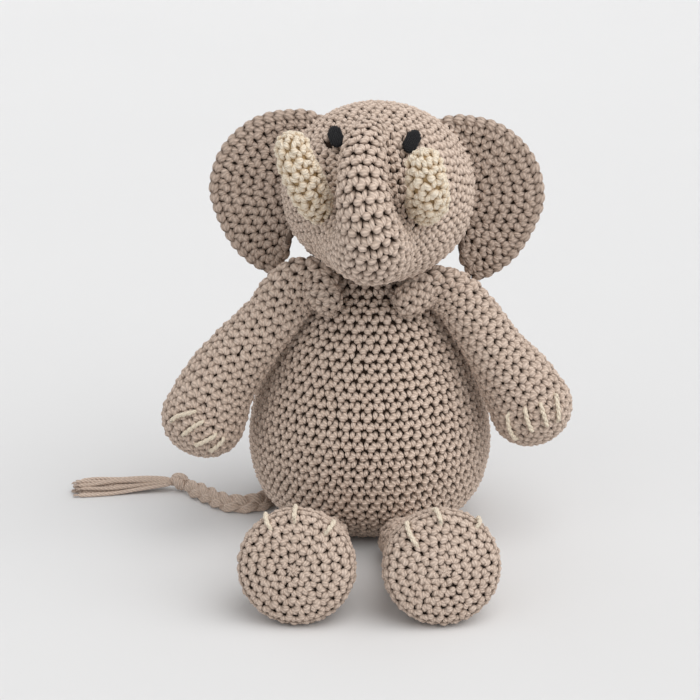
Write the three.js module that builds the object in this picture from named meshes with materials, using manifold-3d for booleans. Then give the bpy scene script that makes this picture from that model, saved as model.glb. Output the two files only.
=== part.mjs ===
// A seated crocheted toy elephant, in millimetres, +Z up, facing -Y.
// The toy's own right side is -X and its own left side is +X.
// Every crocheted cover is an open-ended shell with its stuffing inside it. The head, the arms,
// the legs and the tail are groups whose origins are the points that they turn about, and the
// ears, tusks and eyes stand in the head's group.
import * as THREE from 'three';
import { mergeVertices } from 'three/addons/utils/BufferGeometryUtils.js';
import Module from 'manifold-3d';

const wasm = await Module();
wasm.setup();

// ---- Driving dimensions -------------------------------------------------------------------

const FABRIC = 3.0; // thickness of the crocheted fabric
const GAP = 0.3; // clearance between pieces that lie against each other
const STUFFING_ROOM = 1; // between a cover's inner face and its stuffing
const YARN = 1.9; // diameter of the cream yarn that the claws are sewn with
const CLAW_LIFT = 0.55; // of a claw's underside over the cover's smooth surface

// The body: half-widths at heights, from the edge of the flat seat up to the neck.
const SEAT_RADIUS = 24;
const TORSO_HEIGHTS = [4, 8, 14, 21, 34, 45, 55, 64, 78, 90, 98];
const TORSO_RADII = [34, 40, 45, 48.2, 50.4, 49.7, 47.3, 44.4, 39, 32, 27];
const TORSO_SIDES = 26;
const TORSO_STUFFING_SIDES = 18;
const TORSO_STUFFING_TOP = 112;

// The neck is a ball that the head's socket turns on, with the sewing yarn between them.
const NECK_CENTRE = [0, 0, 97];
const NECK_BALL = 22;
const NECK_START = 103; // height at which the body's outline turns into the ball
const NECK_MOUTH = 8;
const NECK_STEPS = 5;
const SOCKET = 24;
const SEAM_CLEAR = 0.4;
const SEAM_INNER = NECK_BALL + SEAM_CLEAR;
const SEAM_OUTER = SOCKET - SEAM_CLEAR;
const SEAM_FROM = 0.62; // polar angles of the sewing yarn's band, in radians
const SEAM_TO = 0.82;
const SEAM_STEPS = 3;

// The head leans a little to its own left.
const HEAD_LEAN = 2 * THREE.MathUtils.DEG2RAD;
const HEAD_MIDDLE = 1.2;
const HEAD_CLEAR = 0.35; // between the head's cover and what is sewn onto it

// Stations of a round form: centre, then half-widths along its across direction and square to
// it. All are in the frame of the group that the form hangs in.
const HEAD = {
  across: [1, 0, 0],
  startCap: 37,
  endCap: 6,
  stations: [
    [1.4, -5, 47.6, 39, 35],
    [1.4, -19, 44.2, 37, 33.5],
    [0.8, -31, 40.7, 30.3, 27.8],
    [-0.2, -41, 38.2, 23.2, 20.8],
    [-1.2, -50, 36.8, 18, 16.2],
    [-1.6, -58.5, 38.2, 15.3, 14],
    [-2.2, -64.5, 43.9, 12.8, 12.2],
    [-3.9, -66.5, 51.5, 10.9, 11.4],
    [-5.6, -64.5, 61, 9.7, 10],
    [-6, -58, 70, 8.9, 8.9],
    [-5.4, -49.5, 76, 7.8, 7.7],
    [-3.7, -42, 79.2, 6.2, 6],
  ],
};

const TUSK_FABRIC = 2.4;
const TUSK_STUFFING_ROOM = 0.7;
const TUSK_MOUTH = 2.2;
const TUSKS = {
  right: {
    across: [1, 0, 0],
    startCap: 6,
    endCap: 6.4,
    stations: [
      [-22.5, -41, 48.5, 6.4, 6.4],
      [-25.5, -47, 54.5, 7.2, 7.2],
      [-28.5, -51.5, 62, 7.2, 7.2],
      [-31.7, -54.5, 70, 6.8, 6.8],
      [-33.2, -55.2, 75, 6.2, 6.2],
    ],
  },
  left: {
    across: [1, 0, 0],
    startCap: 6,
    endCap: 6.4,
    stations: [
      [17.3, -42, 49, 6.6, 6.4],
      [19.4, -49, 53, 7.5, 7.4],
      [19.8, -56.5, 59, 7.6, 7.6],
      [18.5, -61.5, 66.5, 7.2, 7.2],
      [17.6, -63, 72, 6.5, 6.5],
    ],
  },
};

// Each eye is a pad of satin stitch: where it is on the head, and how far its top leans out.
const EYES = { right: [1.03, 208], left: [1.23, 161] };
const EYE_LEAN = { right: 0.51, left: 0.42 };
const EYE_HALF = [2.7, 6.4];
const EYE_PROUD = 1.3;

// The ear's outline, out from the head's middle and up, from its top to its lower end.
const EAR_OUTLINE = [
  [21.5, 74.4],
  [31.4, 77.8],
  [49.7, 74.6],
  [63.7, 62.5],
  [69.3, 47],
  [67.4, 34],
  [58, 16.8],
  [43.2, 7.4],
  [35.4, 15.5],
  [32.8, 25.3],
];
const EAR_DEPTH = 4; // how far behind the neck's centre the ear stands
const EAR_LAYER = 2.7;
const EAR_EDGE = 2.8; // radius of the edging that joins the two layers
const EAR_CLEAR = 3.1; // from the head's fabric, for the sewing yarn and the flap
const EAR_SEAM = 0.9; // radius of the sewing yarn's line
const EAR_SEAM_LIFT = 1.3; // of the line's middle over the head's cover
const EAR_SEAM_FROM = 0.68; // polar angles of the line's ends about the head's middle, radians
const EAR_SEAM_TO = 2.05;
const EAR_SEAM_STEPS = 8;
const EAR_STEPS = 22;

const ARM_MOUTH = 1.4;
const ARMS = {
  right: {
    pivot: [-20, -23, 106],
    across: [0, 1, 0],
    startCap: 6,
    endCap: 15.5,
    stations: [
      [2.5, -3, -3, 4.2, 6.2],
      [-4, 3, 3.6, 5, 9.8],
      [-12, 3.4, -1, 6.8, 11.6],
      [-20.5, 1.4, -11.5, 9, 11.2],
      [-31.5, 0, -24.5, 11.6, 12.8],
      [-41.5, -1.5, -38, 13.8, 14.8],
      [-48.8, -2.8, -53.5, 15, 17],
    ],
  },
  left: {
    pivot: [17, -26, 106],
    across: [0, 1, 0],
    startCap: 6,
    endCap: 15.5,
    stations: [
      [-2, 0, -3, 4.2, 6.2],
      [8, 5, 1.4, 4.5, 8.3],
      [17, 6.2, -2.6, 6.6, 10],
      [24.5, 5, -11, 9, 10.7],
      [34, 3.2, -25, 11.6, 11.8],
      [42.5, 2, -37, 13.8, 14.6],
      [49.2, 1, -48.8, 15, 16.6],
    ],
  },
};

const LEG_MOUTH = 5;
const LEGS = {
  right: {
    pivot: [-18, -50.5, 9],
    across: [1, 0, 0],
    startCap: 8.8,
    endCap: 6.5,
    stations: [
      [0, 0, 0, 8.8, 8.8],
      [-3.4, -20, 2.9, 11, 11],
      [-6.4, -37, 7.3, 14.8, 14.6],
      [-8.7, -48, 10.9, 19.8, 19.4],
      [-10.5, -57, 12.8, 22.3, 21.8],
      [-11.1, -62, 13.9, 21.8, 21.4],
    ],
  },
  left: {
    pivot: [12.5, -52, 9],
    across: [1, 0, 0],
    startCap: 8.8,
    endCap: 6.5,
    stations: [
      [0, 0, 0, 8.8, 8.8],
      [4.6, -19, 2.9, 11, 11],
      [8.6, -36, 7.3, 14.8, 14.6],
      [12, -47, 10.9, 19.8, 19.4],
      [13.8, -56, 12.8, 22.3, 21.8],
      [14.4, -61, 13.9, 21.8, 21.4],
    ],
  },
};

// Claws: where each sewn stitch starts and ends on its form, as [along, around] pairs. Along
// counts stations and the round cap after the last one, and around is in degrees.
const HAND_CLAWS = {
  right: [
    [[6.19, 318], [5.67, 287]],
    [[6.3, 293], [5.81, 272]],
    [[6.35, 270], [5.99, 249]],
    [[6.35, 244], [6.02, 236]],
  ],
  left: [
    [[6.3, 312], [5.6, 300]],
    [[6.26, 281], [5.64, 273]],
    [[6.3, 259], [5.74, 251]],
    [[6.34, 241], [5.76, 223]],
  ],
};
const FOOT_CLAWS = {
  right: [
    [[5.42, 210], [4.4, 210]],
    [[5.41, 180], [4.3, 181]],
    [[5.4, 140], [4.7, 142]],
  ],
  left: [
    [[5.56, 227], [5.0, 216]],
    [[5.41, 184], [4.8, 189]],
    [[5.3, 142], [4.4, 144]],
  ],
};

// The tail lies on the ground: a plait, its knot and the loose ends of the yarn. The plait leaves
// the lower back square to it, follows the body round and bends away from it. Its root is a ball
// that the tail turns about.
const TAIL_PIVOT = [-9.7, 45, 9.2];
const TAIL_ROUTE = [
  [0, 0, 0],
  [-1, 2.9, -2.3],
  [-2.9, 5.9, -4.1],
  [-5.8, 8.5, -5.1],
  [-9.7, 10.2, -5.4],
  [-13.7, 10.7, -5.5],
  [-17.6, 10, -5.5],
  [-21.1, 8.1, -5.5],
  [-24.1, 5.2, -5.5],
  [-26.4, 1.4, -5.5],
  [-28.1, -3.2, -5.5],
  [-29.3, -9, -5.5],
  [-30.2, -15, -5.5],
  [-30.8, -21, -5.5],
  [-31.3, -27, -5.5],
  [-32, -32.6, -5.5],
  [-33.6, -37, -5.5],
  [-36.2, -40.4, -5.5],
  [-39.6, -42.8, -5.5],
  [-43.7, -43.9, -5.5],
  [-47.9, -43.7, -5.5],
  [-51.9, -42.2, -5.5],
  [-55.2, -39.4, -5.5],
  [-58.5, -35.6, -5.5],
  [-61.9, -31.7, -5.5],
  [-65.3, -27.8, -5.5],
  [-70.2, -22.2, -5.5],
];
const TAIL_RADIUS = 3.5;
const TAIL_SIDES = 8;
const TAIL_STEPS = 34;
const KNOT_HALF = [4.2, 4.2, 3.9];
const KNOT_CENTRE = [-73.4, -18.9, -5.2];
const TASSEL = {
  across: [0, 1, 0],
  startCap: 2,
  endCap: 1.5,
  stations: [
    [-79.7, -17.9, -5.6, 3, 2.8],
    [-90.2, -18.5, -6, 3.8, 2.8],
    [-104.2, -19.9, -6.2, 4.6, 2.6],
    [-119.2, -21.1, -6.4, 5.4, 2.4],
  ],
};

// ---- Finishes -----------------------------------------------------------------------------

const TAUPE = '#a8958a';
const CREAM = '#e2d2b4';
const BLACK = '#17161a';
const FILLING = '#f1efe9';

function yarn(colour) {
  return new THREE.MeshStandardMaterial({ color: colour, roughness: 0.9, metalness: 0 });
}

// ---- Solids -------------------------------------------------------------------------------

// A closed geometry as a solid that can be cut and joined.
function solidOf(geometry) {
  const bare = geometry.clone();
  bare.deleteAttribute('normal');
  bare.deleteAttribute('uv');
  const merged = mergeVertices(bare, 1e-4);
  const corners = [];
  for (let i = 0; i < merged.index.count; i += 3) {
    const [a, b, c] = [merged.index.getX(i), merged.index.getX(i + 1), merged.index.getX(i + 2)];
    if (a !== b && b !== c && c !== a) {
      corners.push(a, b, c);
    }
  }
  const mesh = new wasm.Mesh({
    numProp: 3,
    vertProperties: new Float32Array(merged.attributes.position.array),
    triVerts: new Uint32Array(corners),
  });
  return new wasm.Manifold(mesh);
}

function geometryOf(solid) {
  const mesh = solid.getMesh();
  const geometry = new THREE.BufferGeometry();
  geometry.setAttribute('position', new THREE.BufferAttribute(mesh.vertProperties, 3));
  geometry.setIndex(new THREE.BufferAttribute(mesh.triVerts, 1));
  geometry.computeVertexNormals();
  return geometry;
}

function piece(name, solid, colour) {
  const mesh = new THREE.Mesh(geometryOf(solid), yarn(colour));
  mesh.name = name;
  return mesh;
}

// The largest body of a cut solid: slivers beyond the cut are thrown away.
function largest(solid) {
  const bodies = solid.decompose();
  return bodies.reduce((most, body) => (body.volume() > most.volume() ? body : most));
}

function ball(radius, centre = [0, 0, 0], detail = 24) {
  const geometry = new THREE.SphereGeometry(radius, detail, detail / 2);
  geometry.rotateX(Math.PI / 2);
  geometry.translate(...centre);
  return solidOf(geometry);
}

function tube(points, radius, sides, steps) {
  const curve = new THREE.CatmullRomCurve3(points.map((point) => new THREE.Vector3(...point)));
  const section = new THREE.Shape();
  section.setFromPoints(new THREE.EllipseCurve(0, 0, radius, radius).getPoints(sides).slice(0, -1));
  return solidOf(new THREE.ExtrudeGeometry(section, { steps, extrudePath: curve }));
}

// ---- Round forms --------------------------------------------------------------------------

// The rings of a round form: its stations joined smoothly, with a rounded cap at each end.
// Grow moves the whole surface out, or in where it is negative.
function ringsOf(form, grow, stepsPerStation, capSteps) {
  const last = form.stations.length - 1;
  const rings = [];
  for (let k = 0; k < capSteps; k += 1) {
    rings.push(ringAt(form, -1 + k / capSteps, grow));
  }
  for (let k = 0; k <= last * stepsPerStation; k += 1) {
    rings.push(ringAt(form, k / stepsPerStation, grow));
  }
  for (let k = 1; k <= capSteps; k += 1) {
    rings.push(ringAt(form, last + k / capSteps, grow));
  }
  return rings;
}

// One ring. Along runs from -1, the first cap's pole, through the stations 0, 1, 2 and so on,
// to the last station plus 1, the end cap's pole.
function ringAt(form, along, grow) {
  const last = form.stations.length - 1;
  const centres = form.stations.map(([x, y, z]) => new THREE.Vector3(x, y, z));
  const radii = form.stations.map(([, , , wide, thick]) => new THREE.Vector3(wide, thick, 0));
  const spine = new THREE.CatmullRomCurve3(centres, false, 'centripetal');
  const sizes = new THREE.CatmullRomCurve3(radii, false, 'catmullrom', 0.5);
  const u = THREE.MathUtils.clamp(along / last, 0, 1);
  const tangent = spine.getTangent(u);
  const centre = spine.getPoint(u);
  const size = sizes.getPoint(u);
  const past = along < 0 ? -along : Math.max(0, along - last);
  const cap = along < 0 ? -form.startCap - grow : form.endCap + grow;
  const swing = (past * Math.PI) / 2;
  centre.addScaledVector(tangent, cap * Math.sin(swing));
  const side = new THREE.Vector3(...form.across);
  side.addScaledVector(tangent, -side.dot(tangent)).normalize();
  const up = new THREE.Vector3().crossVectors(side, tangent);
  const isPole = past > 0.999;
  const shrink = isPole ? 0 : Math.cos(swing);
  return { centre, up, side, wide: (size.x + grow) * shrink, thick: (size.y + grow) * shrink };
}

// A point on a round form's surface, lifted off it. Around is an angle from up towards side.
function pointOn(form, along, around, lift) {
  const ring = ringAt(form, along, lift);
  return ring.centre
    .clone()
    .addScaledVector(ring.side, ring.wide * Math.sin(around))
    .addScaledVector(ring.up, ring.thick * Math.cos(around));
}

// A round form as a solid: a unit drum turned on the lathe and bent along the form's spine.
function roundSolid(form, grow = 0, sides = 20, stepsPerStation = 2, capSteps = 4) {
  const rings = ringsOf(form, grow, stepsPerStation, capSteps);
  const profile = rings.map((ring, i) => new THREE.Vector2(ring.wide > 0 ? 1 : 0, i));
  const drum = new THREE.LatheGeometry(profile, sides);
  const position = drum.attributes.position;
  for (let i = 0; i < position.count; i += 1) {
    const ring = rings[Math.round(position.getY(i))];
    const point = ring.centre
      .clone()
      .addScaledVector(ring.side, ring.wide * position.getX(i))
      .addScaledVector(ring.up, ring.thick * position.getZ(i));
    position.setXYZ(i, point.x, point.y, point.z);
  }
  return solidOf(drum);
}

// The opening at a limb's sewn end, through which it was stuffed.
function mouthOf(form, radius) {
  const first = ringAt(form, 0, 0);
  const pole = ringAt(form, -1, 2);
  const geometry = new THREE.CylinderGeometry(radius, radius, 1, 12);
  const from = first.centre;
  const way = new THREE.Vector3().subVectors(pole.centre, from);
  geometry.scale(1, way.length(), 1);
  geometry.translate(0, way.length() / 2, 0);
  const turn = new THREE.Quaternion().setFromUnitVectors(
    new THREE.Vector3(0, 1, 0),
    way.clone().normalize(),
  );
  geometry.applyQuaternion(turn);
  geometry.translate(from.x, from.y, from.z);
  return solidOf(geometry);
}

function limbCover(form, mouth, detail) {
  const inside = roundSolid(form, -FABRIC, detail.inner, detail.steps, 3);
  const outside = roundSolid(form, 0, detail.outer, detail.steps, detail.caps);
  return outside.subtract(inside).subtract(mouthOf(form, mouth));
}

function limbStuffing(form, detail) {
  return roundSolid(form, -FABRIC - STUFFING_ROOM, detail.inner, 1, 3);
}

// A stitch sewn over a round form's surface, from one place on it to another.
function claw(form, [start, end]) {
  const points = [];
  for (let k = 0; k <= 4; k += 1) {
    const along = THREE.MathUtils.lerp(start[0], end[0], k / 4);
    const around = THREE.MathUtils.lerp(start[1], end[1], k / 4) * THREE.MathUtils.DEG2RAD;
    points.push(pointOn(form, along, around, YARN / 2 + CLAW_LIFT).toArray());
  }
  return tube(points, YARN / 2, 6, 4);
}

// ---- Sub-parts ----------------------------------------------------------------------------

function torsoProfile(inset) {
  const points = [new THREE.Vector2(0, inset)];
  points.push(new THREE.Vector2(SEAT_RADIUS - inset / 2, inset));
  TORSO_HEIGHTS.forEach((height, i) => {
    if (height > inset) {
      points.push(new THREE.Vector2(TORSO_RADII[i] - inset, height));
    }
  });
  const from = Math.acos((NECK_START - NECK_CENTRE[2]) / NECK_BALL);
  const to = Math.asin(NECK_MOUTH / (NECK_BALL - inset));
  for (let k = 0; k <= NECK_STEPS; k += 1) {
    const polar = THREE.MathUtils.lerp(from, to, k / NECK_STEPS);
    const radius = (NECK_BALL - inset) * Math.sin(polar);
    const height = NECK_CENTRE[2] + (NECK_BALL - inset) * Math.cos(polar);
    points.push(new THREE.Vector2(radius, height));
  }
  return points;
}

function turned(profile, sides) {
  const geometry = new THREE.LatheGeometry(profile, sides);
  geometry.rotateX(Math.PI / 2);
  return solidOf(geometry);
}

function makeTorso() {
  const group = new THREE.Group();
  const shell = [...torsoProfile(0), ...torsoProfile(FABRIC).reverse()];
  group.add(piece('torso_cover', turned(shell, TORSO_SIDES), TAUPE));
  const top = new THREE.Vector2(0, TORSO_STUFFING_TOP);
  const filling = turned([...torsoProfile(FABRIC + STUFFING_ROOM), top], TORSO_STUFFING_SIDES);
  group.add(piece('torso_stuffing', filling, FILLING));
  return group;
}

function makeNeckSeam() {
  const band = [];
  for (let k = 0; k <= SEAM_STEPS; k += 1) {
    const polar = THREE.MathUtils.lerp(SEAM_TO, SEAM_FROM, k / SEAM_STEPS);
    band.push(new THREE.Vector2(SEAM_OUTER * Math.sin(polar), SEAM_OUTER * Math.cos(polar)));
  }
  for (let k = 0; k <= SEAM_STEPS; k += 1) {
    const polar = THREE.MathUtils.lerp(SEAM_FROM, SEAM_TO, k / SEAM_STEPS);
    band.push(new THREE.Vector2(SEAM_INNER * Math.sin(polar), SEAM_INNER * Math.cos(polar)));
  }
  band.push(band[0].clone());
  const group = new THREE.Group();
  group.position.set(...NECK_CENTRE);
  group.add(piece('neck_seam', turned(band, 24), TAUPE));
  return group;
}

function makeEye(name, side, head) {
  const [along, degrees] = EYES[name];
  const around = degrees * THREE.MathUtils.DEG2RAD;
  const centre = pointOn(HEAD, along, around, 0);
  const forward = pointOn(HEAD, along + 0.1, around, 0).sub(pointOn(HEAD, along - 0.1, around, 0));
  const round = pointOn(HEAD, along, around + 0.1, 0).sub(pointOn(HEAD, along, around - 0.1, 0));
  const outward = new THREE.Vector3().crossVectors(forward, round).normalize();
  const length = new THREE.Vector3(side * Math.tan(EYE_LEAN[name]), 0, 1);
  length.addScaledVector(outward, -length.dot(outward)).normalize();
  const across = new THREE.Vector3().crossVectors(outward, length);
  const pad = new THREE.SphereGeometry(1, 12, 8);
  pad.scale(EYE_HALF[0], 2 * EYE_PROUD, EYE_HALF[1]);
  pad.applyMatrix4(new THREE.Matrix4().makeBasis(across, outward, length));
  pad.translate(centre.x, centre.y, centre.z);
  return piece(`${name}_eye`, solidOf(pad).subtract(head), BLACK);
}

function makeTusk(side, head) {
  const form = TUSKS[side];
  const outside = roundSolid(form, 0, 12, 1, 3);
  const inside = roundSolid(form, -TUSK_FABRIC, 8, 1, 2);
  const mouth = mouthOf(form, TUSK_MOUTH);
  const cover = outside.subtract(inside).subtract(mouth).subtract(head);
  const filling = roundSolid(form, -TUSK_FABRIC - TUSK_STUFFING_ROOM, 8, 1, 2).subtract(head);
  return [
    piece(`${side}_tusk_cover`, cover, CREAM),
    piece(`${side}_tusk_stuffing`, filling, FILLING),
  ];
}

function makeEar(name, side, head) {
  const outline = new THREE.SplineCurve(EAR_OUTLINE.map(([x, z]) => new THREE.Vector2(x, z)));
  const edgePath = [];
  for (let k = 0; k <= EAR_STEPS; k += 1) {
    const point = outline.getPoint(k / EAR_STEPS);
    const tangent = outline.getTangent(k / EAR_STEPS);
    point.add(new THREE.Vector2(tangent.y, -tangent.x).multiplyScalar(EAR_EDGE));
    edgePath.push([HEAD_MIDDLE + side * point.x, EAR_DEPTH, point.y]);
  }
  const room = tube(edgePath, EAR_EDGE + GAP, 8, EAR_STEPS + 8).add(head);
  const layer = (from) => {
    const flat = new THREE.Shape(edgePath.map(([x, , z]) => new THREE.Vector2(x, z)));
    const options = { depth: EAR_LAYER, bevelEnabled: false };
    const geometry = new THREE.ExtrudeGeometry(flat, options);
    geometry.rotateX(Math.PI / 2);
    geometry.translate(0, from + EAR_LAYER, 0);
    return largest(solidOf(geometry).subtract(room));
  };
  const edging = tube(edgePath, EAR_EDGE, 8, EAR_STEPS + 8).subtract(head);
  return [
    piece(`${name}_ear_front`, layer(EAR_DEPTH - EAR_LAYER - GAP / 2), TAUPE),
    piece(`${name}_ear_back`, layer(EAR_DEPTH + GAP / 2), TAUPE),
    piece(`${name}_ear_edging`, edging, TAUPE),
  ];
}

// Where the back of the head, an ellipsoid, meets the plane that an ear stands in.
function headEdge(side, polar, lift) {
  const ring = ringAt(HEAD, 0, 0);
  const nose = new THREE.Vector3().crossVectors(ring.up, ring.side);
  const axes = [
    [ring.side, ring.wide + lift],
    [ring.up, ring.thick + lift],
    [nose, HEAD.startCap + lift],
  ];
  const from = new THREE.Vector3(HEAD_MIDDLE, EAR_DEPTH, ring.centre.z);
  const way = new THREE.Vector3(side * Math.sin(polar), 0, Math.cos(polar));
  const offset = from.clone().sub(ring.centre);
  let [a, b, c] = [0, 0, -1];
  axes.forEach(([axis, half]) => {
    const [ahead, aside] = [way.dot(axis) / half, offset.dot(axis) / half];
    a += ahead * ahead;
    b += ahead * aside;
    c += aside * aside;
  });
  return from.addScaledVector(way, (Math.sqrt(b * b - a * c) - b) / a);
}

// The sewing yarn that holds an ear, lying on the head between the ear's two ends.
function makeEarSeam(name, side) {
  const points = [];
  for (let k = 0; k <= EAR_SEAM_STEPS; k += 1) {
    const polar = THREE.MathUtils.lerp(EAR_SEAM_FROM, EAR_SEAM_TO, k / EAR_SEAM_STEPS);
    points.push(headEdge(side, polar, EAR_SEAM_LIFT).toArray());
  }
  return piece(`${name}_ear_seam`, tube(points, EAR_SEAM, 6, EAR_SEAM_STEPS + 2), TAUPE);
}

function makeHead() {
  const group = new THREE.Group();
  group.position.set(...NECK_CENTRE);
  group.rotation.y = HEAD_LEAN;
  const outside = roundSolid(HEAD, 0, 24, 1, 5);
  const inside = roundSolid(HEAD, -FABRIC, 14, 1, 3);
  group.add(piece('head_cover', outside.subtract(inside).subtract(ball(SOCKET)), TAUPE));
  const filling = roundSolid(HEAD, -FABRIC - STUFFING_ROOM, 12, 1, 3);
  group.add(piece('head_stuffing', filling.subtract(ball(SOCKET + STUFFING_ROOM)), FILLING));
  const near = roundSolid(HEAD, HEAD_CLEAR, 24, 1, 5);
  const clear = roundSolid(HEAD, EAR_CLEAR, 24, 1, 5);
  for (const [name, side] of [['right', -1], ['left', 1]]) {
    group.add(makeEye(name, side, near));
    group.add(...makeTusk(name, near));
    group.add(...makeEar(name, side, clear));
    group.add(makeEarSeam(name, side));
  }
  return group;
}

function makeArm(side) {
  const form = ARMS[side];
  const detail = { outer: 16, inner: 10, steps: 1, caps: 4 };
  const group = new THREE.Group();
  group.position.set(...form.pivot);
  group.add(piece(`${side}_arm_cover`, limbCover(form, ARM_MOUTH, detail), TAUPE));
  group.add(piece(`${side}_arm_stuffing`, limbStuffing(form, detail), FILLING));
  HAND_CLAWS[side].forEach((stitch, i) => {
    group.add(piece(`${side}_arm_claw_${i + 1}`, claw(form, stitch), CREAM));
  });
  return group;
}

function makeLeg(side) {
  const form = LEGS[side];
  const detail = { outer: 20, inner: 12, steps: 1, caps: 4 };
  const group = new THREE.Group();
  group.position.set(...form.pivot);
  group.add(piece(`${side}_leg_cover`, limbCover(form, LEG_MOUTH, detail), TAUPE));
  group.add(piece(`${side}_leg_stuffing`, limbStuffing(form, detail), FILLING));
  FOOT_CLAWS[side].forEach((stitch, i) => {
    group.add(piece(`${side}_leg_claw_${i + 1}`, claw(form, stitch), CREAM));
  });
  return group;
}

function makeTail() {
  const group = new THREE.Group();
  group.position.set(...TAIL_PIVOT);
  const plait = tube(TAIL_ROUTE, TAIL_RADIUS, TAIL_SIDES, TAIL_STEPS);
  group.add(piece('tail_braid', plait.add(ball(TAIL_RADIUS, TAIL_ROUTE[0], TAIL_SIDES)), TAUPE));
  const knot = new THREE.SphereGeometry(1, 12, 8);
  knot.scale(...KNOT_HALF);
  knot.translate(...KNOT_CENTRE);
  group.add(piece('tail_knot', solidOf(knot), TAUPE));
  group.add(piece('tail_tassel', roundSolid(TASSEL, 0, 10, 1, 2), TAUPE));
  return group;
}

// ---- Assembly -----------------------------------------------------------------------------

const elephant = new THREE.Group();
elephant.add(makeTorso(), makeNeckSeam(), makeHead());
elephant.add(makeArm('right'), makeArm('left'));
elephant.add(makeLeg('right'), makeLeg('left'));
elephant.add(makeTail());

export default elephant;
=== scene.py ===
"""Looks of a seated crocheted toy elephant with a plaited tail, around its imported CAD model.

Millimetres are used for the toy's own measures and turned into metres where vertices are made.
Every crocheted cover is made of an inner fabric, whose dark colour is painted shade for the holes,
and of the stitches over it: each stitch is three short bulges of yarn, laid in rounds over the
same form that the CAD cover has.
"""
import math

import bpy
import numpy as np
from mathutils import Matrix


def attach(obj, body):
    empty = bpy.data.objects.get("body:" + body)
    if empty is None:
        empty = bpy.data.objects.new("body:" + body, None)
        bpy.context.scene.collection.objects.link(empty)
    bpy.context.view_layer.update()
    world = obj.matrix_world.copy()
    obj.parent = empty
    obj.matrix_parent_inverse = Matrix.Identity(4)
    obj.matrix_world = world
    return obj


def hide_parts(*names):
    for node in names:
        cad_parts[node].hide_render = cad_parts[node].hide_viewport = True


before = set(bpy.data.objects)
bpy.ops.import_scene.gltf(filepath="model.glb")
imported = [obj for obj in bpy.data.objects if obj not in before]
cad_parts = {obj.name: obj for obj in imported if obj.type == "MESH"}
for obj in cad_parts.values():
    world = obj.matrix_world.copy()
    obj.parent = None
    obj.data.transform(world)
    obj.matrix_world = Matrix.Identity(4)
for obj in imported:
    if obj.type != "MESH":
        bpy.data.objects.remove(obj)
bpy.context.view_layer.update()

MM = 0.001
SIDES = (("right", -1), ("left", 1))
TURN = 2 * math.pi

# ---- The crochet ---------------------------------------------------------------------------

STITCH_WIDE = 4.9
STITCH_HIGH = 4.0
TUSK_STITCH = (5.0, 4.4)
EAR_STITCH = (4.8, 4.0)
LIMB_STITCH = (4.7, 3.9)
FABRIC_SINK = 1.15  # depth of the inner fabric under the cover's smooth surface
ROUND_SHIFT = 0.31  # each round sits this part of a stitch further on than the one before
SMALLEST_ROUND = 5  # stitches
PLACE_JITTER = 0.03  # of a stitch, the spread of its bulges' places
LEAN_JITTER = 6  # degrees
SIZE_JITTER = 0.05
LIFT_JITTER = 0.12

# The bulges of one stitch. Places are parts of the stitch's width and height, from its middle.
# Sizes are in mm: dip is how far both ends sink and tip how much lower the upper end is. The lean
# is in degrees, from the round's upward direction towards its right.
BULGES = (
    dict(at=(0.0, 0.02), lean=9, long=3.9, wide=2.3, thick=2.2, lift=-0.45, dip=0.6, tip=0.7),
    dict(at=(0.56, -0.06), lean=-24, long=4.2, wide=2.45, thick=2.2, lift=-0.45, dip=0.6, tip=0.65),
    dict(at=(0.36, -0.46), lean=-48, long=3.6, wide=3.0, thick=2.4, lift=-0.15, dip=0.55, tip=0.0),
)

# ---- The forms, as the CAD model has them ------------------------------------------------

SEAT_RADIUS = 24
TORSO_HEIGHTS = (4, 8, 14, 21, 34, 45, 55, 64, 78, 90, 98)
TORSO_RADII = (34, 40, 45, 48.2, 50.4, 49.7, 47.3, 44.4, 39, 32, 27)
NECK_CENTRE = (0, 0, 97)
NECK_BALL = 22
NECK_START = 103
NECK_MOUTH = 8
SOCKET = 24
HEAD_LEAN = math.radians(2)
HEAD_MIDDLE = 1.2

HEAD = dict(
    across=(1, 0, 0), start_cap=37, end_cap=6,
    stations=(
        (1.4, -5, 47.6, 39, 35), (1.4, -19, 44.2, 37, 33.5), (0.8, -31, 40.7, 30.3, 27.8),
        (-0.2, -41, 38.2, 23.2, 20.8), (-1.2, -50, 36.8, 18, 16.2), (-1.6, -58.5, 38.2, 15.3, 14),
        (-2.2, -64.5, 43.9, 12.8, 12.2), (-3.9, -66.5, 51.5, 10.9, 11.4),
        (-5.6, -64.5, 61, 9.7, 10), (-6, -58, 70, 8.9, 8.9), (-5.4, -49.5, 76, 7.8, 7.7),
        (-3.7, -42, 79.2, 6.2, 6),
    ),
)
TUSKS = {
    "right": dict(
        across=(1, 0, 0), start_cap=6, end_cap=6.4,
        stations=(
            (-22.5, -41, 48.5, 6.4, 6.4), (-25.5, -47, 54.5, 7.2, 7.2),
            (-28.5, -51.5, 62, 7.2, 7.2), (-31.7, -54.5, 70, 6.8, 6.8),
            (-33.2, -55.2, 75, 6.2, 6.2),
        ),
    ),
    "left": dict(
        across=(1, 0, 0), start_cap=6, end_cap=6.4,
        stations=(
            (17.3, -42, 49, 6.6, 6.4), (19.4, -49, 53, 7.5, 7.4), (19.8, -56.5, 59, 7.6, 7.6),
            (18.5, -61.5, 66.5, 7.2, 7.2), (17.6, -63, 72, 6.5, 6.5),
        ),
    ),
}
EYES = {"right": (1.03, 208), "left": (1.23, 161)}
EYE_LEAN = {"right": 0.51, "left": 0.42}
EYE_HALF = (2.7, 6.4)
EYE_YARN = 0.62
EYE_STRANDS = 7
EAR_OUTLINE = (
    (21.5, 74.4), (31.4, 77.8), (49.7, 74.6), (63.7, 62.5), (69.3, 47),
    (67.4, 34), (58, 16.8), (43.2, 7.4), (35.4, 15.5), (32.8, 25.3),
)
EAR_DEPTH = 4
EAR_HALF = 2.85  # from the ear's middle plane to its two faces
EAR_EDGE = 2.8
EAR_SEAM_FROM = 0.68
EAR_SEAM_TO = 2.05
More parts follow.
